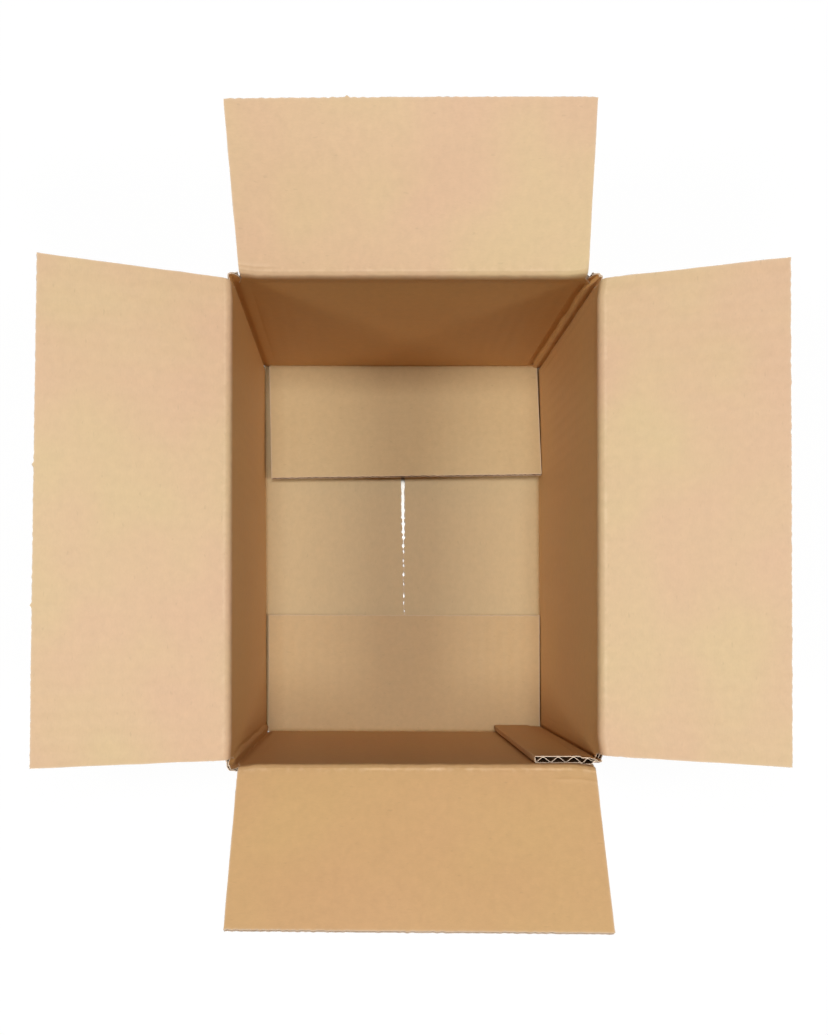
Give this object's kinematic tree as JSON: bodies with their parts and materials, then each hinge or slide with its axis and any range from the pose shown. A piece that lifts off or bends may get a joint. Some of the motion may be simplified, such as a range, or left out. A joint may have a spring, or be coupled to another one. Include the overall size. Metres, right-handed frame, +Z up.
{
  "type": "open cardboard box",
  "caption": "Open slotted cardboard box with four hinged top flaps, an inner glue tab and a taped flap bottom.",
  "frame": {"origin": "centre of the base, on the surface that the box stands on", "axes": "+X to the right wall, +Y to the far short wall, +Z up through the open mouth"},
  "size_m": [0.2977, 0.328, 0.1936],
  "materials": {
    "kraft_board": "matt unprinted kraft liner with faint flute lines",
    "clear_tape": "clear glossy packing tape, slightly yellow"
  },
  "bodies": {
    "carton": {"carton_body": "kraft_board", "base_tape": "clear_tape"},
    "left_flap": {"flap_left": "kraft_board"},
    "right_flap": {"flap_right": "kraft_board"},
    "far_flap": {"flap_far": "kraft_board"},
    "near_flap": {"flap_near": "kraft_board"}
  },
  "joints": [
    {"name": "left_crease", "type": "hinge", "parent": "carton", "child": "left_flap", "pos_m": [-0.07915, 0, 0.16483], "axis": [0, 1, 0], "range_deg": [-101, 162.5]},
    {"name": "right_crease", "type": "hinge", "parent": "carton", "child": "right_flap", "pos_m": [0.07915, 0, 0.16483], "axis": [0, -1, 0], "range_deg": [-104, 164.5]},
    {"name": "far_crease", "type": "hinge", "parent": "carton", "child": "far_flap", "pos_m": [0, 0.10465, 0.16153], "axis": [1, 0, 0], "range_deg": [-107, 162]},
    {"name": "near_crease", "type": "hinge", "parent": "carton", "child": "near_flap", "pos_m": [0, -0.10465, 0.16153], "axis": [-1, 0, 0], "range_deg": [-116.5, 153]}
  ]
}
